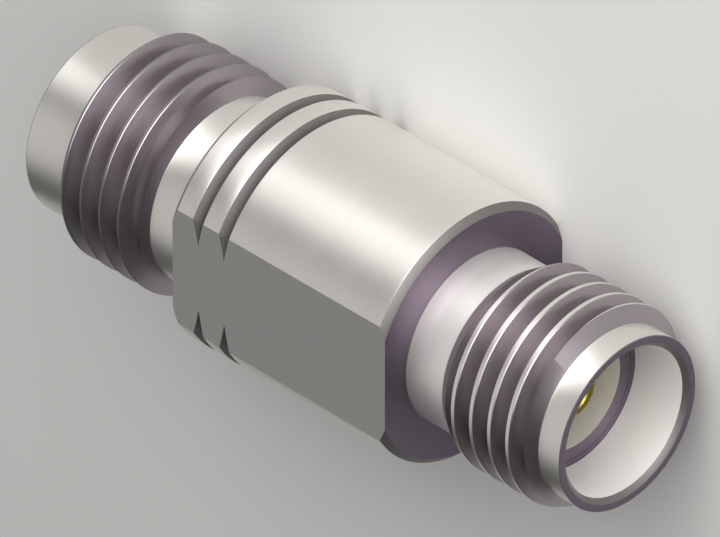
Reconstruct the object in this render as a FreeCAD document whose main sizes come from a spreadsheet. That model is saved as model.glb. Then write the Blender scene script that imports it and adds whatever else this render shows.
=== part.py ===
"""Coaxial adapter with a female connector at each end, between a 3.5 mm and a 2.4 mm line.

One turned steel body carries both threads. From each mouth a sleeve and a bead are pushed in
against a shoulder of the stepped bore. The centre conductor is a rod with a socket contact
screwed into each end, and its two journals sit in the beads.

Lengths are millimetres. Every piece is drawn along the adapter's own axis, with X counted from
the far end's face, and then placed so that the adapter lies on one of its wrench flats.
"""

import FreeCAD, Part
import os
import Sketcher

# Every size that can be set by itself: its name, its value and what it measures
SIZES = [
    ("across_flats", 7.0, "between the two wrench flats"),
    ("flat_depth", 0.5, "how far each flat lies below the round middle"),
    ("body_length", 8.38, "middle part, between the two necks"),
    ("body_chamfer", 0.2, "edge of the round middle, at both of its ends"),
    ("mark_count", 2, "marking grooves that name the smaller line"),
    ("mark_place", 1.02, "first marking groove, from the middle's far end"),
    ("mark_spacing", 1.02, "from one marking groove to the next"),
    ("mark_depth", 0.345, "marking groove"),
    ("mark_angle", 60, "included angle of a marking groove, degrees"),
    ("thread_angle", 60, "included angle of both threads, degrees"),
    ("cutter_exit", 0.1, "how far a thread cutter runs past its thread"),
    ("drill_angle", 118, "point of a drilled hole, degrees"),
    ("sleeve_edge", 0.03, "broken outer edge of a sleeve's front"),
    ("tip_recess", 0.02, "contact tip behind the reference face"),
    ("slide_gap", 0.01, "radial clearance of beads and studs"),
    ("stud_end_gap", 0.1, "left beyond the end of a stud"),
    ("step_offset", 0.15, "the rod's step stands behind the bore's step"),
    ("far_line_length", 3.4, "bare 2.4 mm line between the far bead and the step"),
    # Near end: 3.5 mm line, 1/4-36 UNS
    ("near_nose_length", 0.81, "plain nose in front of the thread"),
    ("near_thread_length", 3.75, "thread with its run-out"),
    ("near_runout_angle", 34, "slope of the thread's back end to the axis, degrees"),
    ("near_neck_length", 1.44, "plain neck behind the thread"),
    ("near_pitch", 0.70556, "36 turns to the inch"),
    ("near_crest_flat", 0.155, "width of the thread's crest"),
    ("near_root_flat", 0.02, "width of the thread's root"),
    ("near_root_relief", 0.01, "nose and neck lie under the root by this"),
    ("near_cutter_entry", 0.291, "where the thread cutter starts, in front of the thread"),
    ("near_mouth_depth", 2.0, "from the face to the reference face"),
    ("near_mouth_chamfer", 0.15, "rim of the mouth"),
    ("near_line_bore", 3.5, "inside of the outer conductor"),
    ("near_sleeve_wall", 0.41, "wall of the pressed-in outer conductor"),
    ("near_seat_step", 0.155, "body's own ring round the reference face"),
    ("near_nose_wall", 0.376, "wall of the plain nose"),
    ("near_sleeve_length", 3.3, "pressed-in outer conductor"),
    ("near_bead_length", 1.5, "support bead"),
    ("near_relief_inner", 1.9, "inner diameter of the bead's ring recess"),
    ("near_relief_outer", 2.9, "outer diameter of the bead's ring recess"),
    ("near_relief_depth", 0.25, "bead's ring recess, in both faces"),
    ("near_line_pin", 1.52, "outside of the centre conductor"),
    ("near_socket_diameter", 0.94, "hole that takes the mating pin"),
    ("near_socket_depth", 2.6, "hole that takes the mating pin"),
    ("near_socket_chamfer", 0.1, "lead-in of that hole"),
    ("near_slot_width", 0.13, "saw cut between two fingers"),
    ("near_slot_length", 2.1, "saw cut between two fingers"),
    ("near_journal", 1.1, "diameter that runs through the bead"),
    ("near_stud", 0.7, "diameter that screws into the rod"),
    ("near_stud_length", 1.2, "part that screws into the rod"),
    # Far end: 2.4 mm line, M7 x 0.75
    ("far_nose_length", 1.514, "plain nose in front of the thread"),
    ("far_thread_length", 3.46, "thread with its run-out"),
    ("far_runout_angle", 60, "slope of the thread's back end to the axis, degrees"),
    ("far_neck_length", 1.516, "plain neck behind the thread"),
    ("far_pitch", 0.75, "one turn of the thread"),
    ("far_crest_flat", 0.085, "width of the thread's crest"),
    ("far_root_flat", 0.02, "width of the thread's root"),
    ("far_root_relief", 0.03, "nose and neck lie under the root by this"),
    ("far_cutter_entry", 0.606, "where the thread cutter starts, in front of the thread"),
    ("far_mouth_depth", 2.0, "from the face to the reference face"),
    ("far_mouth_chamfer", 0.15, "rim of the mouth"),
    ("far_line_bore", 2.4, "inside of the outer conductor"),
    ("far_sleeve_wall", 0.935, "wall of the pressed-in outer conductor"),
    ("far_seat_step", 0.25, "body's own ring round the reference face"),
    ("far_nose_wall", 0.506, "wall of the plain nose"),
    ("far_sleeve_length", 3.0, "pressed-in outer conductor"),
    ("far_bead_length", 1.2, "support bead"),
    ("far_relief_inner", 1.3, "inner diameter of the bead's ring recess"),
    ("far_relief_outer", 2.0, "outer diameter of the bead's ring recess"),
    ("far_relief_depth", 0.2, "bead's ring recess, in both faces"),
    ("far_line_pin", 1.042, "outside of the centre conductor"),
    ("far_socket_diameter", 0.53, "hole that takes the mating pin"),
    ("far_socket_depth", 2.0, "hole that takes the mating pin"),
    ("far_socket_chamfer", 0.06, "lead-in of that hole"),
    ("far_slot_width", 0.08, "saw cut between two fingers"),
    ("far_slot_length", 1.6, "saw cut between two fingers"),
    ("far_journal", 0.72, "diameter that runs through the bead"),
    ("far_stud", 0.46, "diameter that screws into the rod"),
    ("far_stud_length", 0.9, "part that screws into the rod"),
]
ENDS = ("near", "far")

document = FreeCAD.newDocument("CoaxAdapter")
sheet = document.addObject("Spreadsheet::Sheet", "Sizes")


def fill_sheet():
    """Write every size into the sheet, one row each, under its own alias."""
    for row, (alias, value, meaning) in enumerate(SIZES, start=1):
        sheet.set("A%d" % row, alias)
        sheet.set("B%d" % row, repr(value))
        sheet.set("C%d" % row, meaning)
        sheet.setAlias("B%d" % row, alias)
    document.recompute()


def of(alias):
    """The sheet's value of that name, as an expression."""
    return "Sizes." + alias


def total(*terms):
    return "(" + " + ".join(terms) + ")"


def less(first, *others):
    return "(" + " - ".join((first,) + others) + ")"


def half(term):
    return "(%s / 2)" % term


def tangent(degrees):
    return "tan((%s) * 1 deg)" % degrees


def value_of(expression):
    return float(sheet.evalExpression(expression))


# Lengths that follow from the sizes. Depths count from the face of their own end.
THREAD_HALF_ANGLE = tangent(half(of("thread_angle")))
END_LENGTH = {
    end: total(of(end + "_nose_length"), of(end + "_thread_length"), of(end + "_neck_length"))
    for end in ENDS
}
OVERALL = total(END_LENGTH["far"], of("body_length"), END_LENGTH["near"])
SHOULDER = {
    end: total(of(end + "_mouth_depth"), of(end + "_sleeve_length"), of(end + "_bead_length"))
    for end in ENDS
}
BEAD_FRONT = {end: total(of(end + "_mouth_depth"), of(end + "_sleeve_length")) for end in ENDS}
TIP = {end: total(of(end + "_mouth_depth"), of("tip_recess")) for end in ENDS}
LINE_STEP = total(SHOULDER["far"], of("far_line_length"))

# Radii that follow from the sizes, from the bore outwards.
LINE_RADIUS = {end: half(of(end + "_line_bore")) for end in ENDS}
SEAT_RADIUS = {end: total(LINE_RADIUS[end], of(end + "_sleeve_wall")) for end in ENDS}
MOUTH_RADIUS = {end: total(SEAT_RADIUS[end], of(end + "_seat_step")) for end in ENDS}
PLAIN_RADIUS = {end: total(MOUTH_RADIUS[end], of(end + "_nose_wall")) for end in ENDS}
ROOT_RADIUS = {end: total(PLAIN_RADIUS[end], of(end + "_root_relief")) for end in ENDS}
BODY_RADIUS = total(half(of("across_flats")), of("flat_depth"))


def station(end, depth):
    """The X of a depth counted from the face of the near or the far end."""
    return depth if end == "far" else less(OVERALL, depth)


def crest_radius(end):
    """Radius over a V thread that leaves the stated crest and root flats at the stated pitch."""
    flanks = less(of(end + "_pitch"), of(end + "_crest_flat"), of(end + "_root_flat"))
    return total(ROOT_RADIUS[end], "%s / 2 / %s" % (flanks, THREAD_HALF_ANGLE))


def new_body(label):
    """An empty body, placed so that the adapter lies on a wrench flat, centred over the origin."""
    body = document.addObject("PartDesign::Body", label)
    body.Label = label
    body.setExpression("Placement.Base.x", "-" + half(OVERALL))
    body.setExpression("Placement.Base.z", half(of("across_flats")))
    return body


def origin_feature(body, role):
    return next(item for item in body.Origin.OriginFeatures if item.Role == role)


def pin_to_origin(sketch, line, axis, expression):
    """Hold one coordinate of a line's start: on an axis where it is 0, else by a bound distance."""
    number = value_of(expression)
    if expression == "0":
        sketch.addConstraint(Sketcher.Constraint("PointOnObject", line, 1, -1 if axis == "Y" else -2))
        return
    kind = "Distance" + axis
    ends = (-1, 1, line, 1) if number > 0 else (line, 1, -1, 1)
    index = sketch.addConstraint(Sketcher.Constraint(kind, *ends, abs(number)))
    sketch.setExpression("Constraints[%d]" % index, expression if number > 0 else "-" + expression)


def draw(body, name, *outlines):
    """A sketch in the axial plane. Each outline lists its corners as (X, height) expressions."""
    sketch = body.newObject("Sketcher::SketchObject", name)
    sketch.AttachmentSupport = (origin_feature(body, "XZ_Plane"), [""])
    sketch.MapMode = "FlatFace"
    for corners in outlines:
        points = [FreeCAD.Vector(value_of(x), value_of(y), 0) for x, y in corners]
        first = sketch.GeometryCount
        count = len(points)
        for step in range(count):
            sketch.addGeometry(Part.LineSegment(points[step], points[(step + 1) % count]), False)
        for step in range(count):
            following = first + (step + 1) % count
            sketch.addConstraint(Sketcher.Constraint("Coincident", first + step, 2, following, 1))
        for step, (x, y) in enumerate(corners):
            pin_to_origin(sketch, first + step, "X", x)
            pin_to_origin(sketch, first + step, "Y", y)
    document.recompute()
    return sketch


def revolve(body, name, corners):
    sketch = draw(body, name + "_section", corners)
    feature = body.newObject("PartDesign::Revolution", name)
    feature.Profile = sketch
    feature.ReferenceAxis = (sketch, ["H_Axis"])
    feature.Angle = 360
    document.recompute()
    return feature


def solid_volume(body):
    return body.Shape.Volume


def cut(body, kind, name, sketch, **settings):
    """Add a feature that takes material away, and make sure that it does."""
    before = solid_volume(body)
    feature = body.newObject("PartDesign::" + kind, name)
    feature.Profile = sketch
    for key, setting in settings.items():
        setattr(feature, key, setting)
    document.recompute()
    if not solid_volume(body) < before:
        raise RuntimeError(name + " cuts nothing")
    return feature


def outer_outline():
    """The body's outside, from the far face to the near face, closed along the axis."""
    chamfer = of("body_chamfer")
    corners = [("0", "0")]
    for end in ("far", "near"):
        crest = crest_radius(end)
        plain = PLAIN_RADIUS[end]
        rise = less(crest, plain)
        nose = of(end + "_nose_length")
        bevel = total(nose, "%s * %s" % (rise, THREAD_HALF_ANGLE))
        back = total(nose, of(end + "_thread_length"))
        runout = less(back, "%s / %s" % (rise, tangent(of(end + "_runout_angle"))))
        side = [
            (station(end, "0"), plain),
            (station(end, nose), plain),
            (station(end, bevel), crest),
            (station(end, runout), crest),
            (station(end, back), plain),
            (station(end, END_LENGTH[end]), plain),
            (station(end, END_LENGTH[end]), less(BODY_RADIUS, chamfer)),
            (station(end, total(END_LENGTH[end], chamfer)), BODY_RADIUS),
        ]
        corners += side if end == "far" else reversed(side)
    corners.append((OVERALL, "0"))
    return corners


def bore_outline():
    """The stepped bore, from the far mouth to the near mouth, closed along the axis."""
    corners = [("0", "0")]
    for end in ("far", "near"):
        mouth = MOUTH_RADIUS[end]
        chamfer = of(end + "_mouth_chamfer")
        line = LINE_RADIUS[end]
        side = [
            (station(end, "0"), total(mouth, chamfer)),
            (station(end, chamfer), mouth),
            (station(end, of(end + "_mouth_depth")), mouth),
            (station(end, of(end + "_mouth_depth")), SEAT_RADIUS[end]),
            (station(end, SHOULDER[end]), SEAT_RADIUS[end]),
            (station(end, SHOULDER[end]), line),
            (LINE_STEP, line),
        ]
        corners += side if end == "far" else reversed(side)
    corners.append((OVERALL, "0"))
    return corners


def cut_flats(body):
    """Two wrench flats, above and below the axis, along the middle part only."""
    start = END_LENGTH["far"]
    finish = total(start, of("body_length"))
    inside = half(of("across_flats"))
    outside = total(BODY_RADIUS, of("flat_depth"))
    outlines = []
    for sign in ("", "-"):
        low = sign + inside
        high = sign + outside
        outlines.append([(start, low), (finish, low), (finish, high), (start, high)])
    sketch = draw(body, "flats_section", *outlines)
    cut(body, "Pocket", "flats", sketch, Type="ThroughAll", Midplane=True)


def cut_marks(body):
    """V-shaped marking grooves, evenly spaced from the middle part's far end."""
    place = total(END_LENGTH["far"], of("mark_place"))
    root = less(BODY_RADIUS, of("mark_depth"))
    above = total(BODY_RADIUS, of("mark_depth"))
    spread = "(2 * %s * %s)" % (of("mark_depth"), tangent(half(of("mark_angle"))))
    corners = [(place, root), (total(place, spread), above), (less(place, spread), above)]
    sketch = draw(body, "mark_section", corners)
    groove = cut(body, "Groove", "mark", sketch, ReferenceAxis=(sketch, ["H_Axis"]), Angle=360)
    pattern = body.newObject("PartDesign::LinearPattern", "marks")
    pattern.Originals = [groove]
    pattern.Direction = (origin_feature(body, "X_Axis"), [""])
    pattern.Mode = "Spacing"
    pattern.setExpression("Offset", of("mark_spacing"))
    pattern.setExpression("Occurrences", of("mark_count"))
    body.Tip = pattern
    document.recompute()


def cut_thread(body, end):
    """A right-handed V thread, cut by a profile that starts and ends in the open."""
    start = "-" + of(end + "_cutter_entry")
    place = station(end, total(of(end + "_nose_length"), start))
    low = ROOT_RADIUS[end]
    high = total(crest_radius(end), half(of(end + "_crest_flat")))
    narrow = half(of(end + "_root_flat"))
    wide = total(narrow, "(%s - %s) * %s" % (high, low, THREAD_HALF_ANGLE))
    corners = [
        (less(place, narrow), low),
        (total(place, narrow), low),
        (total(place, wide), high),
        (less(place, wide), high),
    ]
    sketch = draw(body, end + "_thread_section", corners)
    before = solid_volume(body)
    thread = body.newObject("PartDesign::SubtractiveHelix", end + "_thread")
    thread.Profile = sketch
    thread.ReferenceAxis = (origin_feature(body, "X_Axis"), [""])
    thread.Mode = "pitch-height-angle"
    thread.LeftHanded = False
    thread.Reversed = end == "near"
    thread.setExpression("Pitch", of(end + "_pitch"))
    travel = total(of(end + "_cutter_entry"), of(end + "_thread_length"), of("cutter_exit"))
    thread.setExpression("Height", travel)
    document.recompute()
    if not solid_volume(body) < before:
        raise RuntimeError(end + " thread cuts nothing")


def build_threaded_body():
    body = new_body("threaded_body")
    revolve(body, "turned", outer_outline())
    bore = draw(body, "bore_section", bore_outline())
    cut(body, "Groove", "bore", bore, ReferenceAxis=(bore, ["H_Axis"]), Angle=360)
    cut_flats(body)
    cut_marks(body)
    for end in ENDS:
        cut_thread(body, end)
    return body


def build_sleeve(end):
    """Outer conductor ring between the reference face and the bead."""
    body = new_body(end + "_reference_sleeve")
    front = of(end + "_mouth_depth")
    edge = of("sleeve_edge")
    outside = SEAT_RADIUS[end]
    inside = LINE_RADIUS[end]
    revolve(body, end + "_sleeve", [
        (station(end, front), inside),
        (station(end, front), less(outside, edge)),
        (station(end, total(front, edge)), outside),
        (station(end, BEAD_FRONT[end]), outside),
        (station(end, BEAD_FRONT[end]), inside),
    ])
    return body


def build_bead(end):
    """Support bead with a ring recess in each face, where the line passes through it."""
    body = new_body(end + "_bead")
    gap = of("slide_gap")
    hole = total(half(of(end + "_journal")), gap)
    outside = less(SEAT_RADIUS[end], gap)
    inner = half(of(end + "_relief_inner"))
    outer = half(of(end + "_relief_outer"))
    depth = of(end + "_relief_depth")
    front = BEAD_FRONT[end]
    back = SHOULDER[end]
    front_floor = total(front, depth)
    back_floor = less(back, depth)
    revolve(body, end + "_bead_ring", [
        (station(end, front), hole),
        (station(end, front), inner),
        (station(end, front_floor), inner),
        (station(end, front_floor), outer),
        (station(end, front), outer),
        (station(end, front), outside),
        (station(end, back), outside),
        (station(end, back), outer),
        (station(end, back_floor), outer),
        (station(end, back_floor), inner),
        (station(end, back), inner),
        (station(end, back), hole),
    ])
    return body


def build_contact(end):
    """Socket contact: slotted fingers in front, a journal and a stud behind."""
    body = new_body(end + "_contact")
    outside = half(of(end + "_line_pin"))
    journal = half(of(end + "_journal"))
    stud = half(of(end + "_stud"))
    socket = half(of(end + "_socket_diameter"))
    chamfer = of(end + "_socket_chamfer")
    bottom = total(TIP[end], of(end + "_socket_depth"))
    point = total(bottom, "%s / %s" % (socket, tangent(half(of("drill_angle")))))
    stud_end = total(SHOULDER[end], of(end + "_stud_length"))
    revolve(body, end + "_contact_turned", [
        (station(end, TIP[end]), total(socket, chamfer)),
        (station(end, TIP[end]), outside),
        (station(end, BEAD_FRONT[end]), outside),
        (station(end, BEAD_FRONT[end]), journal),
        (station(end, SHOULDER[end]), journal),
        (station(end, SHOULDER[end]), stud),
        (station(end, stud_end), stud),
        (station(end, stud_end), "0"),
        (station(end, point), "0"),
        (station(end, bottom), socket),
        (station(end, total(TIP[end], chamfer)), socket),
    ])
    start = station(end, half(TIP[end]))
    finish = station(end, total(TIP[end], of(end + "_slot_length")))
    edge = half(of(end + "_slot_width"))
    sketch = draw(body, end + "_slot_section", [
        (start, edge),
        (finish, edge),
        (finish, "-" + edge),
        (start, "-" + edge),
    ])
    slot = cut(body, "Pocket", end + "_slot", sketch, Type="ThroughAll", Midplane=True)
    pattern = body.newObject("PartDesign::PolarPattern", end + "_slots")
    pattern.Originals = [slot]
    pattern.Axis = (origin_feature(body, "X_Axis"), [""])
    pattern.Angle = 180
    pattern.Occurrences = 2
    body.Tip = pattern
    document.recompute()
    return body


def build_centre_rod():
    """Middle of the centre conductor, bored at each end for a contact's stud."""
    body = new_body("centre_rod")
    gap = of("slide_gap")
    step = total(LINE_STEP, of("step_offset"))
    corners = []
    for end in ("far", "near"):
        hole = total(half(of(end + "_stud")), gap)
        depth = total(SHOULDER[end], of(end + "_stud_length"), of("stud_end_gap"))
        side = [
            (station(end, depth), "0"),
            (station(end, depth), hole),
            (station(end, SHOULDER[end]), hole),
            (station(end, SHOULDER[end]), half(of(end + "_line_pin"))),
            (step, half(of(end + "_line_pin"))),
        ]
        corners += side if end == "far" else reversed(side)
    revolve(body, "rod", corners)
    return body


def check_document():
    """Stop if any object failed, or any sketch is still free to move."""
    for item in document.Objects:
        if "Invalid" in item.State or "Error" in item.State:
            raise RuntimeError("failed object: " + item.Label)
        if item.TypeId == "Sketcher::SketchObject" and not item.FullyConstrained:
            raise RuntimeError("sketch is not fully constrained: " + item.Label)


def export(bodies):
    for body in bodies:
        shape = body.Shape
        if shape.isNull() or not shape.isValid() or len(shape.Solids) != 1:
            raise RuntimeError("bad solid: " + body.Label)
    os.makedirs("parts", exist_ok=True)
    for body in bodies:
        body.Shape.exportStep(os.path.join("parts", body.Label + ".step"))
        print(body.Label, round(body.Shape.Volume, 4), "cubic millimetres")


fill_sheet()
pieces = [build_threaded_body(), build_centre_rod()]
for each_end in ENDS:
    pieces.append(build_sleeve(each_end))
    pieces.append(build_bead(each_end))
    pieces.append(build_contact(each_end))
document.recompute()
check_document()
export(pieces)
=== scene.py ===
"""Looks of the coaxial adapter: turned steel body with cut threads, gold contacts, plastic beads.

Every piece is built finely here, in the place of its plain solid, from the same sizes. X runs
along the axis, counted from the far end's face, as on a drawing, and depths count from the face of
their own end. Lengths are millimetres. Those of the floor, the lamps, the camera's reach and the
thread tree's inputs are metres, as in the scene.
"""

import math
from types import SimpleNamespace

import bmesh
import bpy
from mathutils import Matrix, Vector


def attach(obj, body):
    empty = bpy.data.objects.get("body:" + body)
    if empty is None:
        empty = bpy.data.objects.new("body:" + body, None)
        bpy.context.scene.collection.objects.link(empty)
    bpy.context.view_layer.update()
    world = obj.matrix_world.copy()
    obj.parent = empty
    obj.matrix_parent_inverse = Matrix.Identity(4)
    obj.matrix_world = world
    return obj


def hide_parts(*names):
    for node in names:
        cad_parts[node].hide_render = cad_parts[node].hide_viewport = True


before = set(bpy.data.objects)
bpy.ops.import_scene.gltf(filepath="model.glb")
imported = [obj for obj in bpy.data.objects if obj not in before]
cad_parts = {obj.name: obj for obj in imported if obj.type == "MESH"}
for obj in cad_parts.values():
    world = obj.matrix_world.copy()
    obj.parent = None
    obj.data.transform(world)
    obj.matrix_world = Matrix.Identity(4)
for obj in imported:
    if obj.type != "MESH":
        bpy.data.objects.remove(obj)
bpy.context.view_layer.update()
scene = bpy.context.scene
scene.view_settings.view_transform = "Standard"

MM = 0.001
BODY = "root"

# Sizes of the middle part
ACROSS_FLATS = 7.0
FLAT_DEPTH = 0.5
BODY_LENGTH = 8.38
BODY_CHAMFER = 0.2
MARK_COUNT = 2
MARK_PLACE = 1.02
MARK_SPACING = 1.02
MARK_DEPTH = 0.345

# Sizes that both ends share
FLANK_SLOPE = math.tan(math.radians(30))
DRILL_SLOPE = math.tan(math.radians(59))
CUTTER_EXIT = 0.1
MOUTH_DEPTH = 2.0
MOUTH_CHAMFER = 0.15
TIP_RECESS = 0.02
SLEEVE_EDGE = 0.04
SLIDE_GAP = 0.01
STUD_END_GAP = 0.1
LINE_STEP = 9.6
STEP_OFFSET = 0.15

# How far an edge is broken
STEEL_EDGE = 0.025
BEAD_EDGE = 0.02
FINE_EDGE = 0.012

# Steps round each kind of piece
BODY_STEPS = 256
SLEEVE_STEPS = 192
BEAD_STEPS = 128
PIN_STEPS = 96


def make_end(name, **sizes):
    """One end: its sizes, and the radii and depths that follow from them."""
    end = SimpleNamespace(name=name, **sizes)
    end.line = end.line_bore / 2
    end.seat = end.line + end.sleeve_wall
    end.mouth = end.seat + end.seat_step
    end.plain = end.mouth + end.nose_wall
    end.root = end.plain + end.root_relief
    flanks = end.pitch - end.crest_flat - end.root_flat
    end.crest = end.root + flanks / 2 / FLANK_SLOPE
    end.thread_end = end.nose_length + end.thread_length
    end.length = end.thread_end + end.neck_length
    end.bead_front = MOUTH_DEPTH + end.sleeve_length
    end.shoulder = end.bead_front + end.bead_length
    end.tip = MOUTH_DEPTH + TIP_RECESS
    return end


# 3.5 mm line, 1/4-36 UNS
NEAR = make_end(
    "near",
    nose_length=0.81, thread_length=3.75, neck_length=1.44, runout_angle=34,
    pitch=0.70556, crest_flat=0.155, root_flat=0.02, root_relief=0.01,
    cutter_entry=0.291, crest_edge=0.02,
    line_bore=3.5, sleeve_wall=0.41, seat_step=0.155, nose_wall=0.376,
    sleeve_length=3.3, bead_length=1.5, relief_inner=0.95, relief_outer=1.45, relief_depth=0.25,
    line_pin=0.76, socket=0.47, socket_depth=2.6, socket_chamfer=0.1,
    slot_width=0.13, slot_length=2.1, journal=0.55, stud=0.35, stud_length=1.2,
)
# 2.4 mm line, M7 x 0.75
FAR = make_end(
    "far",
    nose_length=1.514, thread_length=3.46, neck_length=1.516, runout_angle=60,
    pitch=0.75, crest_flat=0.085, root_flat=0.02, root_relief=0.03,
    cutter_entry=0.606, crest_edge=0.015,
    line_bore=2.4, sleeve_wall=0.935, seat_step=0.25, nose_wall=0.506,
    sleeve_length=3.0, bead_length=1.2, relief_inner=0.65, relief_outer=1.0, relief_depth=0.2,
    line_pin=0.521, socket=0.265, socket_depth=2.0, socket_chamfer=0.06,
    slot_width=0.08, slot_length=1.6, journal=0.36, stud=0.23, stud_length=0.9,
)
ENDS = (FAR, NEAR)

AXIS_HEIGHT = ACROSS_FLATS / 2
BODY_RADIUS = AXIS_HEIGHT + FLAT_DEPTH
BODY_START = FAR.length
BODY_END = BODY_START + BODY_LENGTH
LENGTH = BODY_END + NEAR.length
MARK_HALF_WIDTH = MARK_DEPTH * FLANK_SLOPE
MARKS = [BODY_START + MARK_PLACE + MARK_SPACING * number for number in range(MARK_COUNT)]


def place(x, y, z):
    """A point of the drawing, X from the far face and Y, Z from the axis, in the scene."""
    return Vector(((x - LENGTH / 2) * MM, y * MM, (z + AXIS_HEIGHT) * MM))


def station(end, depth):
    """The X of a depth counted from the face of an end."""
    return depth if end is FAR else LENGTH - depth


# The camera, where it sees the middle of the adapter's axis, and how near and far it sees
PIXELS_PER_MM = 35.8
PHOTO_WIDTH = 720
PHOTO_HEIGHT = 537
MIDDLE_PIXEL = (361.0, 270.1)
LENS = 1200.0
SENSOR = 36.0
NEAREST = 0.1
FARTHEST = 5.0


def make_camera():
    """A long lens that looks from +X +Y +Z, with +Y upwards in the picture."""
    right = Vector((1, 0, -1)).normalized()
    up = Vector((-1, 2, -1)).normalized()
    back = Vector((1, 1, 1)).normalized()
    across = (PHOTO_WIDTH / 2 - MIDDLE_PIXEL[0]) / PIXELS_PER_MM * MM
    upwards = (MIDDLE_PIXEL[1] - PHOTO_HEIGHT / 2) / PIXELS_PER_MM * MM
    target = place(LENGTH / 2, 0, 0) + right * across + up * upwards
    data = bpy.data.cameras.new("camera")
    data.lens = LENS
    data.sensor_width = SENSOR
    distance = PHOTO_WIDTH / PIXELS_PER_MM * MM * LENS / SENSOR
    data.clip_start = NEAREST
    data.clip_end = FARTHEST
    camera = bpy.data.objects.new("camera", data)
    axes = Matrix((right, up, back)).transposed()
    camera.matrix_world = Matrix.Translation(target + back * distance) @ axes.to_4x4()
    scene.collection.objects.link(camera)
    scene.camera = camera


# Outlines of (X, radius), and for some corners how far that edge is broken

def body_outline():
    """The steel body: its outside from the far face to the near face, then the bore back again."""
    outside = []
    bore = []
    for end in ENDS:
        rise = end.crest - end.plain
        runout = end.thread_end - rise / math.tan(math.radians(end.runout_angle))
        side = [
            (station(end, 0), end.plain),
            (station(end, end.nose_length), end.plain),
            (station(end, end.nose_length + rise * FLANK_SLOPE), end.crest),
            (station(end, runout), end.crest),
            (station(end, end.thread_end), end.plain),
            (station(end, end.length), end.plain),
            (station(end, end.length), BODY_RADIUS - BODY_CHAMFER),
            (station(end, end.length + BODY_CHAMFER), BODY_RADIUS),
        ]
        inside = [
            (station(end, 0), end.mouth + MOUTH_CHAMFER),
            (station(end, MOUTH_CHAMFER), end.mouth),
            (station(end, MOUTH_DEPTH), end.mouth),
            (station(end, MOUTH_DEPTH), end.seat),
            (station(end, end.shoulder), end.seat),
            (station(end, end.shoulder), end.line),
            (LINE_STEP, end.line),
        ]
        outside += side if end is FAR else side[::-1]
        bore += inside if end is FAR else inside[::-1]
        if end is FAR:
            for x in MARKS:
                outside += [
                    (x - MARK_HALF_WIDTH, BODY_RADIUS),
                    (x, BODY_RADIUS - MARK_DEPTH),
                    (x + MARK_HALF_WIDTH, BODY_RADIUS),
                ]
    return outside + bore[::-1]


def sleeve_outline(end):
    """A ring whose front is the reference face."""
    return [
        (station(end, MOUTH_DEPTH), end.line),
        (station(end, MOUTH_DEPTH), end.seat, SLEEVE_EDGE),
        (station(end, end.bead_front), end.seat),
        (station(end, end.bead_front), end.line),
    ]


def bead_outline(end):
    """A ring with a recess in each face, where the line passes through it."""
    corners = []
    for face, floor in ((end.bead_front, 1), (end.shoulder, -1)):
        recess = station(end, face + floor * end.relief_depth)
        face = station(end, face)
        side = [
            (face, end.journal + SLIDE_GAP),
            (face, end.relief_inner),
            (recess, end.relief_inner),
            (recess, end.relief_outer),
            (face, end.relief_outer),
            (face, end.seat - SLIDE_GAP),
        ]
        corners += side if floor > 0 else side[::-1]
    return corners


def contact_outline(end):
    """Fingers with a socket in front, a journal and a stud behind."""
    bottom = end.tip + end.socket_depth
    stud_end = end.shoulder + end.stud_length
    return [
        (station(end, end.tip), end.socket + end.socket_chamfer),
        (station(end, end.tip), end.line_pin),
        (station(end, end.bead_front), end.line_pin),
        (station(end, end.bead_front), end.journal),
        (station(end, end.shoulder), end.journal),
        (station(end, end.shoulder), end.stud),
        (station(end, stud_end), end.stud),
        (station(end, stud_end), 0),
        (station(end, bottom + end.socket / DRILL_SLOPE), 0),
        (station(end, bottom), end.socket),
        (station(end, end.tip + end.socket_chamfer), end.socket),
    ]


def rod_outline():
    """Middle of the centre conductor, bored at each end for a contact's stud."""
    corners = []
    for end in ENDS:
        bottom = end.shoulder + end.stud_length + STUD_END_GAP
        side = [
            (station(end, bottom), 0),
            (station(end, bottom), end.stud + SLIDE_GAP),
            (station(end, end.shoulder), end.stud + SLIDE_GAP),
            (station(end, end.shoulder), end.line_pin),
            (LINE_STEP + STEP_OFFSET, end.line_pin),
        ]
        corners += side if end is FAR else side[::-1]
    return corners


# Rounding of a corner: its steps, the most that it takes of a side, and what counts as straight
EDGE_STEPS = 2
EDGE_SHARE = 0.45
STRAIGHT = 0.999


def softened(corners, size):
    """Round every corner of a closed outline a little, as an edge break does."""
    outline = []
    count = len(corners)
    for index, corner in enumerate(corners):
        here = Vector(corner[:2])
        before = Vector(corners[index - 1][:2])
        after = Vector(corners[(index + 1) % count][:2])
        reach = corner[2] if len(corner) > 2 else size
        to_before = before - here
        to_after = after - here
        reach = min(reach, to_before.length * EDGE_SHARE, to_after.length * EDGE_SHARE)
        straight = to_before.normalized().dot(to_after.normalized()) < -STRAIGHT
        if reach <= 0 or straight:
            outline.append(here)
            continue
        first = here + to_before.normalized() * reach
        last = here + to_after.normalized() * reach
        for step in range(EDGE_STEPS + 1):
            part = step / EDGE_STEPS
            low = first.lerp(here, part)
            high = here.lerp(last, part)
            outline.append(low.lerp(high, part))
    return outline


ON_AXIS = 1e-6


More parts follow.
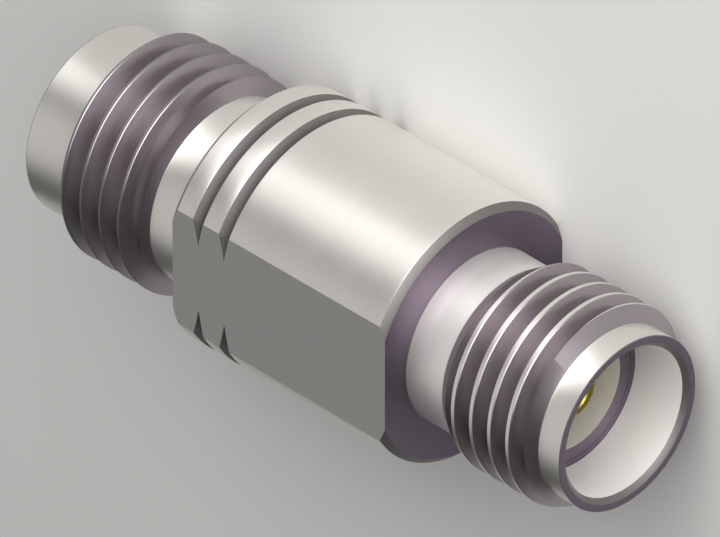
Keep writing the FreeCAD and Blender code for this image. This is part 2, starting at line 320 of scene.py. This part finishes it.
def turned(name, outline, steps):
    """A closed mesh turned about the axis from a closed outline of (X, radius)."""
    mesh = bpy.data.meshes.new(name)
    shape = bmesh.new()
    rings = []
    for x, radius in outline:
        if radius < ON_AXIS:
            rings.append([shape.verts.new(place(x, 0, 0))])
            continue
        ring = []
        for step in range(steps):
            angle = 2 * math.pi * step / steps
            ring.append(shape.verts.new(place(x, radius * math.sin(angle), radius * math.cos(angle))))
        rings.append(ring)
    for index, ring in enumerate(rings):
        following = rings[(index + 1) % len(rings)]
        if len(ring) == 1 and len(following) == 1:
            continue
        for step in range(steps):
            after = (step + 1) % steps
            corners = [ring[step % len(ring)], ring[after % len(ring)]]
            corners += [following[after % len(following)], following[step % len(following)]]
            face = []
            for corner in corners:
                if corner not in face:
                    face.append(corner)
            shape.faces.new(face)
    bmesh.ops.recalc_face_normals(shape, faces=shape.faces)
    shape.to_mesh(mesh)
    shape.free()
    piece = bpy.data.objects.new(name, mesh)
    scene.collection.objects.link(piece)
    return piece


def cut_away(piece, cutters):
    """Subtract closed meshes from a piece and keep the result as a plain mesh."""
    for cutter in cutters:
        change = piece.modifiers.new("cut", "BOOLEAN")
        change.operation = "DIFFERENCE"
        change.solver = "EXACT"
        change.object = cutter
    flatten(piece)
    for cutter in cutters:
        bpy.data.objects.remove(cutter)


def flatten(piece):
    """Turn the evaluated result into the piece's own plain mesh."""
    depsgraph = bpy.context.evaluated_depsgraph_get()
    depsgraph.update()
    result = bpy.data.meshes.new_from_object(piece.evaluated_get(depsgraph))
    piece.modifiers.clear()
    piece.data = result
    result.name = piece.name


def block(name, low, high):
    """A closed box between two corners of the drawing."""
    mesh = bpy.data.meshes.new(name)
    shape = bmesh.new()
    bmesh.ops.create_cube(shape, size=1.0)
    for vertex in shape.verts:
        spot = [low[i] if vertex.co[i] < 0 else high[i] for i in range(3)]
        vertex.co = place(*spot)
    shape.to_mesh(mesh)
    shape.free()
    piece = bpy.data.objects.new(name, mesh)
    scene.collection.objects.link(piece)
    return piece


# The sockets of a Mix node for its two inputs and its result, by what it mixes
MIX_SOCKETS = {"VECTOR": (4, 5, 1), "RGBA": (6, 7, 2)}


class Tree:
    """Short hands for building a node tree in order."""

    def __init__(self, tree):
        self.tree = tree

    def take(self, name, socket, default=None):
        """Add a named input to a group."""
        made = self.tree.interface.new_socket(name, in_out="INPUT", socket_type=socket)
        if default is not None:
            made.default_value = default

    def give(self, name, socket):
        """Add a named output to a group."""
        self.tree.interface.new_socket(name, in_out="OUTPUT", socket_type=socket)

    def feed(self, socket, value):
        """Link an output to a socket, or set the socket's own value."""
        if isinstance(value, bpy.types.NodeSocket):
            self.tree.links.new(value, socket)
        else:
            socket.default_value = value

    def node(self, kind, settings=None, **inputs):
        """Add a node with its settings, and with inputs named by their words."""
        made = self.tree.nodes.new(kind)
        for key, value in (settings or {}).items():
            setattr(made, key, value)
        for key, value in inputs.items():
            self.feed(made.inputs[key.replace("_", " ")], value)
        return made

    def math(self, operation, first, second=0.0):
        made = self.tree.nodes.new("ShaderNodeMath")
        made.operation = operation
        self.feed(made.inputs[0], first)
        self.feed(made.inputs[1], second)
        return made.outputs[0]

    def vector(self, x, y, z):
        made = self.tree.nodes.new("ShaderNodeCombineXYZ")
        for socket, value in zip(made.inputs, (x, y, z)):
            self.feed(socket, value)
        return made.outputs[0]

    def mix(self, kind, factor, first, second):
        """Blend from first to second, which are two vectors or two colours."""
        made = self.node("ShaderNodeMix", {"data_type": kind}, Factor=factor)
        first_socket, second_socket, result = MIX_SOCKETS[kind]
        self.feed(made.inputs[first_socket], first)
        self.feed(made.inputs[second_socket], second)
        return made.outputs[result]


# Bevel of the thread cutter: its height in edge breaks, and its width for that height
BEVEL_HEIGHT = 1.7
BEVEL_WIDTH = 1.5
CUTTER_WELD = 1e-8


def thread_tree():
    """Geometry Nodes that cut a helical V groove with softened crests into what comes in."""
    t = Tree(bpy.data.node_groups.new("screw_thread", "GeometryNodeTree"))
    t.take("Geometry", "NodeSocketGeometry")
    for name in ("Root Radius", "Crest Radius", "Root Flat", "Edge Break", "Start", "Rise"):
        t.take(name, "NodeSocketFloat", MM)
    t.take("Turns", "NodeSocketFloat", 5.0)
    t.take("Steps", "NodeSocketInt", BODY_STEPS)
    t.take("Axis Height", "NodeSocketFloat", AXIS_HEIGHT * MM)
    t.take("Material", "NodeSocketMaterial")
    t.give("Geometry", "NodeSocketGeometry")
    given = t.tree.nodes.new("NodeGroupInput").outputs

    # Section of the cutter: half width along the axis, and height from the axis, of each corner
    narrow = t.math("MULTIPLY", given["Root Flat"], 0.5)
    bend = t.math("SUBTRACT", given["Crest Radius"], given["Edge Break"])
    flank = t.math("MULTIPLY", t.math("SUBTRACT", bend, given["Root Radius"]), FLANK_SLOPE)
    wide = t.math("ADD", narrow, flank)
    bevel = t.math("MULTIPLY", given["Edge Break"], BEVEL_HEIGHT)
    top = t.math("ADD", bend, bevel)
    widest = t.math("ADD", wide, t.math("MULTIPLY", bevel, BEVEL_WIDTH))
    corners = [(narrow, given["Root Radius"]), (wide, bend), (widest, top)]
    points = [t.vector(width, height, 0.0) for width, height in corners]
    for width, height in reversed(corners):
        points.append(t.vector(t.math("MULTIPLY", width, -1.0), height, 0.0))
    points.append(points[0])

    # A grid of stations along the helix by corners of the section, closed to a point at both ends
    sides = float(len(points))
    travel = t.math("ROUND", t.math("MULTIPLY", given["Turns"], given["Steps"]))
    stations = t.math("ADD", travel, 3.0)
    grid = t.node("GeometryNodeMeshGrid", Vertices_X=stations, Vertices_Y=int(sides))
    index = t.node("GeometryNodeInputIndex").outputs[0]
    station = t.math("FLOOR", t.math("DIVIDE", t.math("ADD", index, 0.5), sides))
    corner = t.math("SUBTRACT", index, t.math("MULTIPLY", station, sides))
    switch = t.tree.nodes.new("GeometryNodeIndexSwitch")
    switch.data_type = "VECTOR"
    while len(switch.index_switch_items) < len(points):
        switch.index_switch_items.new()
    t.feed(switch.inputs[0], corner)
    for number, point in enumerate(points):
        t.feed(switch.inputs[number + 1], point)
    middle = t.vector(0.0, t.math("MULTIPLY", t.math("ADD", given["Root Radius"], bend), 0.5), 0.0)
    half = t.math("MULTIPLY", t.math("ADD", travel, 2.0), 0.5)
    from_middle = t.math("ABSOLUTE", t.math("SUBTRACT", station, half))
    is_end = t.math("GREATER_THAN", from_middle, t.math("SUBTRACT", half, 0.5))
    section = t.mix("VECTOR", is_end, switch.outputs[0], middle)
    split = t.node("ShaderNodeSeparateXYZ", Vector=section).outputs
    step = t.math("MINIMUM", t.math("MAXIMUM", t.math("SUBTRACT", station, 1.0), 0.0), travel)
    turn = t.math("DIVIDE", step, given["Steps"])
    sense = t.math("MULTIPLY", t.math("SIGN", given["Rise"]), -2 * math.pi)
    angle = t.math("MULTIPLY", turn, sense)
    along = t.math("ADD", given["Start"], t.math("MULTIPLY", turn, given["Rise"]))
    outwards = t.math("MULTIPLY", t.math("SIGN", given["Rise"]), -1.0)
    x = t.math("ADD", along, t.math("MULTIPLY", split["X"], outwards))
    y = t.math("MULTIPLY", split["Y"], t.math("SINE", angle))
    z = t.math("MULTIPLY", split["Y"], t.math("COSINE", angle))
    z = t.math("ADD", z, given["Axis Height"])
    laid = t.node("GeometryNodeSetPosition", Geometry=grid.outputs[0], Position=t.vector(x, y, z))
    cutter = t.node("GeometryNodeMergeByDistance", Geometry=laid.outputs[0], Distance=CUTTER_WELD)
    cut = t.node("GeometryNodeMeshBoolean", {"operation": "DIFFERENCE", "solver": "EXACT"})
    t.feed(cut.inputs["Mesh 1"], given["Geometry"])
    t.feed(cut.inputs["Mesh 2"], cutter.outputs[0])
    realized = t.node("GeometryNodeRealizeInstances", Geometry=cut.outputs[0])
    finished = t.node("GeometryNodeSetMaterial", Geometry=realized.outputs[0])
    t.feed(finished.inputs["Material"], given["Material"])
    result = t.tree.nodes.new("NodeGroupOutput")
    t.feed(result.inputs[0], finished.outputs[0])
    return t.tree


def cut_thread(piece, tree, values):
    """Run the thread tree on a piece with the given inputs, and keep the result."""
    change = piece.modifiers.new("thread", "NODES")
    change.node_group = tree
    for item in tree.interface.items_tree:
        if item.in_out == "INPUT" and item.name in values:
            change[item.identifier] = values[item.name]
    flatten(piece)


# Finishes, and darker copies of the steel and gold that are painted shade

# Tone of a machined face: shares of fine marks, broad marks and handling, their scales, the range
# of tones that the roughness follows, and how far marks are drawn out across a milled flat
FINE_SHARE = 0.45
BROAD_SHARE = 0.25
HANDLED_SHARE = 0.30
BROAD_SCALE = 0.21
HANDLED_PER_MM = 0.45
TONE_RANGE = (0.3, 0.7)
MILLED_STRETCH = 0.02


def tool_marks_group():
    """Fine marks of a cutting tool: a height to bump with and a tone to vary the finish with."""
    t = Tree(bpy.data.node_groups.new("tool_marks", "ShaderNodeTree"))
    t.take("Across", "NodeSocketVector")
    t.take("Place", "NodeSocketVector")
    t.take("Marks per mm", "NodeSocketFloat", 9.0)
    t.give("Height", "NodeSocketFloat")
    t.give("Tone", "NodeSocketFloat")
    given = t.tree.nodes.new("NodeGroupInput").outputs
    two = {"noise_dimensions": "2D"}
    fine = t.node("ShaderNodeTexNoise", two, Vector=given["Across"], Detail=2.0)
    t.feed(fine.inputs["Scale"], given["Marks per mm"])
    broad = t.node("ShaderNodeTexNoise", two, Vector=given["Across"], Detail=1.0)
    t.feed(broad.inputs["Scale"], t.math("MULTIPLY", given["Marks per mm"], BROAD_SCALE))
    handled = t.node("ShaderNodeTexNoise", Vector=given["Place"], Scale=HANDLED_PER_MM, Detail=3.0)
    tone = t.math("MULTIPLY", fine.outputs[0], FINE_SHARE)
    tone = t.math("ADD", tone, t.math("MULTIPLY", broad.outputs[0], BROAD_SHARE))
    tone = t.math("ADD", tone, t.math("MULTIPLY", handled.outputs[0], HANDLED_SHARE))
    result = t.tree.nodes.new("NodeGroupOutput")
    t.feed(result.inputs["Height"], fine.outputs[0])
    t.feed(result.inputs["Tone"], tone)
    return t.tree


TOOL_MARKS = tool_marks_group()


def finish(name, dark, light, rough, metallic=1.0, marks=9.0, bump=0.0002, direction="round"):
    """A machined finish. Marks run round the axis, or straight across on a milled flat."""
    material = bpy.data.materials.new(name)
    material.use_nodes = True
    t = Tree(material.node_tree)
    shader = material.node_tree.nodes["Principled BSDF"]
    spot = t.node("ShaderNodeTexCoord").outputs["Object"]
    in_mm = t.node("ShaderNodeVectorMath", {"operation": "SCALE"})
    t.feed(in_mm.inputs[0], spot)
    in_mm.inputs["Scale"].default_value = 1 / MM
    parts = t.node("ShaderNodeSeparateXYZ", Vector=in_mm.outputs[0]).outputs
    if direction == "round":
        from_axis = t.vector(0.0, parts["Y"], t.math("SUBTRACT", parts["Z"], AXIS_HEIGHT))
        radius = t.node("ShaderNodeVectorMath", {"operation": "LENGTH"}, Vector=from_axis)
        across = t.vector(parts["X"], radius.outputs["Value"], 0.0)
    else:
        across = t.vector(parts["X"], t.math("MULTIPLY", parts["Y"], MILLED_STRETCH), 0.0)
    marked = t.node("ShaderNodeGroup", {"node_tree": TOOL_MARKS}, Across=across, Place=in_mm.outputs[0])
    marked.inputs["Marks per mm"].default_value = marks
    tone = marked.outputs["Tone"]
    t.feed(shader.inputs["Base Color"], t.mix("RGBA", tone, (*dark, 1.0), (*light, 1.0)))
    rougher = t.node(
        "ShaderNodeMapRange", Value=tone,
        From_Min=TONE_RANGE[0], From_Max=TONE_RANGE[1], To_Min=rough[0], To_Max=rough[1],
    )
    t.feed(shader.inputs["Roughness"], rougher.outputs[0])
    raised = t.node("ShaderNodeBump", Height=marked.outputs["Height"])
    raised.inputs["Distance"].default_value = bump * MM
    t.feed(shader.inputs["Normal"], raised.outputs[0])
    shader.inputs["Metallic"].default_value = metallic
    return material


TURNED = finish("turned_steel", (0.84, 0.81, 0.765), (0.90, 0.87, 0.825), (0.30, 0.345), bump=0.0001)
SATIN = finish("satin_steel", (0.85, 0.83, 0.80), (0.93, 0.91, 0.88), (0.38, 0.46), metallic=0.80)
REAMED = finish("reamed_bore", (0.90, 0.89, 0.875), (0.95, 0.94, 0.925), (0.40, 0.48), metallic=0.40)
# End faces of the steel: a dark purple-grey base that is painted shade, not the steel's own colour
PAINTED_SHADE_FACES = finish("steel_faces_painted_shade", (0.165, 0.132, 0.172), (0.215, 0.174, 0.224), (0.44, 0.54))
# Thread flanks: a darker purple-grey copy of the steel, painted shade between the threads
PAINTED_SHADE_FLANKS = finish("thread_flanks_painted_shade", (0.37, 0.33, 0.352), (0.44, 0.395, 0.42), (0.27, 0.33))
# Edge breaks and the far thread's crests: a dark copy of the steel, painted shade that dims where they
# would catch light
PAINTED_DARK_EDGES = finish("edges_painted_shade", (0.22, 0.21, 0.21), (0.27, 0.26, 0.26), (0.50, 0.58))
# Wrench flats: the marks across are the milling, and the base darker than the turned steel is painted shade
MILLED_AND_SHADED = finish("milled_flats_painted_shade", (0.56, 0.545, 0.525), (0.64, 0.625, 0.60), (0.30, 0.40), direction="across")
GOLD = finish("gold_plating", (0.70, 0.56, 0.12), (0.80, 0.66, 0.18), (0.20, 0.30), marks=14.0)
# Faces of the gold pieces across the axis: a near-black olive copy of the gold, painted shade
GOLD_FACES_PAINTED_SHADE = finish("gold_faces_painted_shade", (0.105, 0.080, 0.008), (0.14, 0.108, 0.014), (0.34, 0.44), marks=14.0)
BEAD = finish("bead_plastic", (0.78, 0.77, 0.71), (0.88, 0.87, 0.82), (0.40, 0.55), metallic=0.0, marks=6.0)

# The slope along the axis from which a face counts as an end face, and below which as a round one. End
# faces, and on the steel the faces between, take colours of painted shade
FLAT_FACE = 0.95
ROUND_FACE = 0.25
# How level a wrench flat is, and how near its height a face of it lies
LEVEL_FACE = 0.9999
FLAT_TOLERANCE = 0.001
# Up to this radius a bore of the body is reamed
WIDEST_REAMED = NEAR.mouth + SLIDE_GAP


def steel_finish(centre, normal):
    """The finish of a face of the body, from its place and its slope. End faces, flanks, edge breaks, the
    far crests and the flats get darker colours, which are painted shade.
    """
    x = centre.x + LENGTH / 2
    height = centre.z - AXIS_HEIGHT
    slope = abs(normal.x)
    inward = normal.y * centre.y + normal.z * height < 0
    # Wrench flats: milled, with a darker base that paints their shade
    if abs(normal.z) > LEVEL_FACE and abs(abs(height) - AXIS_HEIGHT) < FLAT_TOLERANCE:
        return MILLED_AND_SHADED
    # End faces take the colour of painted shade
    if slope > FLAT_FACE:
        return PAINTED_SHADE_FACES
    radius = math.hypot(centre.y, height)
    # Bores are reamed; the faces in them take painted shade
    if inward and radius < WIDEST_REAMED:
        return REAMED if slope < ROUND_FACE else PAINTED_SHADE_FACES
    # The far thread's crests are painted dark and its flanks painted shade
    if FAR.nose_length < x < FAR.thread_end:
        return PAINTED_DARK_EDGES if slope < ROUND_FACE else PAINTED_SHADE_FLANKS
    if station(NEAR, NEAR.thread_end) < x < station(NEAR, NEAR.nose_length):
        return TURNED if slope < ROUND_FACE else PAINTED_SHADE_FLANKS
    # Other edge breaks are painted dark
    if slope > ROUND_FACE:
        return PAINTED_DARK_EDGES
    return SATIN if BODY_END < x < station(NEAR, NEAR.thread_end) else TURNED


def sleeve_finish(centre, normal):
    """A smooth bore, and turned faces round it, coloured dark as painted shade."""
    inward = normal.y * centre.y + normal.z * (centre.z - AXIS_HEIGHT) < 0
    return REAMED if inward and abs(normal.x) < ROUND_FACE else PAINTED_SHADE_FACES


def gold_finish(centre, normal):
    # Faces across the axis take the copy of the gold that is painted shade
    return GOLD_FACES_PAINTED_SHADE if abs(normal.x) > FLAT_FACE else GOLD


def bead_finish(centre, normal):
    return BEAD


# Sharper edges than this stay sharp, and nearer points than this are one point
CREASE = math.radians(14)
WELD = 0.0001


def weld(mesh):
    """Join the doubled points that a cut leaves, so that the surface is closed."""
    shape = bmesh.new()
    shape.from_mesh(mesh)
    bmesh.ops.remove_doubles(shape, verts=shape.verts, dist=WELD * MM)
    shape.to_mesh(mesh)
    shape.free()


def settle(piece, choose, node):
    """Finish a piece in the place of a solid, each face by choose(centre, normal)."""
    mesh = piece.data
    weld(mesh)
    mesh.materials.clear()
    used = []
    for face in mesh.polygons:
        material = choose(face.center / MM, face.normal)
        if material not in used:
            used.append(material)
            mesh.materials.append(material)
        face.material_index = used.index(material)
    mesh.shade_smooth()
    mesh.set_sharp_from_angle(angle=CREASE)
    shading = piece.modifiers.new("shading", "WEIGHTED_NORMAL")
    shading.keep_sharp = True
    flatten(piece)
    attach(piece, BODY)
    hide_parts(node)


# Pieces

def make_body():
    """The steel body: turned, milled flat above and below, then threaded at both ends."""
    body = turned("steel_body", softened(body_outline(), STEEL_EDGE), BODY_STEPS)
    clear = BODY_RADIUS + FLAT_DEPTH
    inside = BODY_START - SLIDE_GAP
    outside = BODY_END + SLIDE_GAP
    above = block("above", (inside, -clear, AXIS_HEIGHT), (outside, clear, clear))
    below = block("below", (inside, -clear, -clear), (outside, clear, -AXIS_HEIGHT))
    cut_away(body, [above, below])
    tree = thread_tree()
    for end in ENDS:
        travel = end.cutter_entry + end.thread_length + CUTTER_EXIT
        cut_thread(body, tree, {
            "Root Radius": end.root * MM,
            "Crest Radius": end.crest * MM,
            "Root Flat": end.root_flat * MM,
            "Edge Break": end.crest_edge * MM,
            "Start": (station(end, end.nose_length - end.cutter_entry) - LENGTH / 2) * MM,
            "Rise": end.pitch * MM * (1 if end is FAR else -1),
            "Turns": travel / end.pitch,
            "Material": TURNED,
        })
    settle(body, steel_finish, "threaded_body")


def make_sleeve(end):
    node = end.name + "_reference_sleeve"
    ring = turned(node + "_fine", softened(sleeve_outline(end), FINE_EDGE), SLEEVE_STEPS)
    settle(ring, sleeve_finish, node)


def make_bead(end):
    node = end.name + "_bead"
    ring = turned(node + "_fine", softened(bead_outline(end), BEAD_EDGE), BEAD_STEPS)
    settle(ring, bead_finish, node)


def make_contact(end):
    """A socket contact with two saw cuts across its front, which leave four fingers."""
    node = end.name + "_contact"
    contact = turned(node + "_fine", softened(contact_outline(end), FINE_EDGE), PIN_STEPS)
    opened = sorted((station(end, end.tip / 2), station(end, end.tip + end.slot_length)))
    edge = end.slot_width / 2
    clear = end.line_pin * 2
    upright = block("upright_saw", (opened[0], -edge, -clear), (opened[1], edge, clear))
    level = block("level_saw", (opened[0], -clear, -edge), (opened[1], clear, edge))
    cut_away(contact, [upright, level])
    settle(contact, gold_finish, node)


def make_rod():
    """The middle of the centre conductor."""
    rod = turned("centre_rod_fine", softened(rod_outline(), FINE_EDGE), PIN_STEPS)
    settle(rod, gold_finish, "centre_rod")


# Floor and light

FLOOR_HALF_WIDTH = 1.5
FLOOR_DROP = 0.00001
FLOOR_COLOUR = (0.71, 0.71, 0.70, 1.0)
FLOOR_ROUGHNESS = 0.9
FLOOR_GLOSS = 0.1


def make_floor():
    """A sheet of pale paper that the adapter lies on."""
    mesh = bpy.data.meshes.new("floor")
    shape = bmesh.new()
    bmesh.ops.create_grid(shape, x_segments=1, y_segments=1, size=FLOOR_HALF_WIDTH)
    for vertex in shape.verts:
        vertex.co.z = -FLOOR_DROP
    shape.to_mesh(mesh)
    shape.free()
    floor = bpy.data.objects.new("floor", mesh)
    scene.collection.objects.link(floor)
    paper = bpy.data.materials.new("pale_paper")
    paper.use_nodes = True
    shader = paper.node_tree.nodes["Principled BSDF"]
    shader.inputs["Base Color"].default_value = FLOOR_COLOUR
    shader.inputs["Roughness"].default_value = FLOOR_ROUGHNESS
    shader.inputs["Specular IOR Level"].default_value = FLOOR_GLOSS
    mesh.materials.append(paper)


LAMP_COLOUR = (1.0, 0.99, 0.97)
# Soft lamps: the direction of each from the adapter, its distance, its sides and its power
LAMPS = {
    "front_window": ((0.54, 0.65, 0.54), 0.085, (0.110, 0.110), 0.070),
    "back_window": ((0.16, 0.87, 0.38), 0.30, (0.36, 0.28), 0.70),
}


def softbox(name, toward, distance, sides, power):
    """A rectangular lamp that looks at the adapter from a direction."""
    data = bpy.data.lights.new(name, "AREA")
    data.shape = "RECTANGLE"
    data.size, data.size_y = sides
    data.energy = power
    data.color = LAMP_COLOUR
    lamp = bpy.data.objects.new(name, data)
    aim = Vector((0, 0, AXIS_HEIGHT * MM))
    spot = aim + Vector(toward).normalized() * distance
    turn = (aim - spot).to_track_quat("-Z", "Y").to_matrix().to_4x4()
    lamp.matrix_world = Matrix.Translation(spot) @ turn
    scene.collection.objects.link(lamp)


ROOM_LIGHT = 0.09
# Pale parts of the room: the middle of each, the angles where it starts and is full, and its light
PALE_PARTS = [
    ((-0.577, 0.800, -0.010), 40, 2, 1.06),
    ((-0.577, -0.085, 0.812), 46, 12, 0.46),
    ((0.70, 0.68, 0.22), 60, 25, 0.20),
]


def make_world():
    """A dim room with three soft pale parts: low behind, overhead and in front."""
    world = bpy.data.worlds.new("studio")
    scene.world = world
    world.use_nodes = True
    t = Tree(world.node_tree)
    toward = t.node("ShaderNodeTexCoord").outputs["Generated"]
    level = ROOM_LIGHT
    for middle, start, full, light in PALE_PARTS:
        side = t.node("ShaderNodeVectorMath", {"operation": "DOT_PRODUCT"})
        t.feed(side.inputs[0], toward)
        t.feed(side.inputs[1], Vector(middle).normalized())
        ramp = t.node(
            "ShaderNodeMapRange", {"interpolation_type": "SMOOTHSTEP"}, Value=side.outputs["Value"],
            From_Min=math.cos(math.radians(start)), From_Max=math.cos(math.radians(full)),
            To_Min=0.0, To_Max=light,
        )
        level = t.math("ADD", ramp.outputs[0], level)
    t.feed(world.node_tree.nodes["Background"].inputs["Color"], t.vector(level, level, level))


make_camera()
make_body()
for each_end in ENDS:
    make_sleeve(each_end)
    make_bead(each_end)
    make_contact(each_end)
make_rod()
make_floor()
make_world()
for lamp_name, lamp_values in LAMPS.items():
    softbox(lamp_name, *lamp_values)
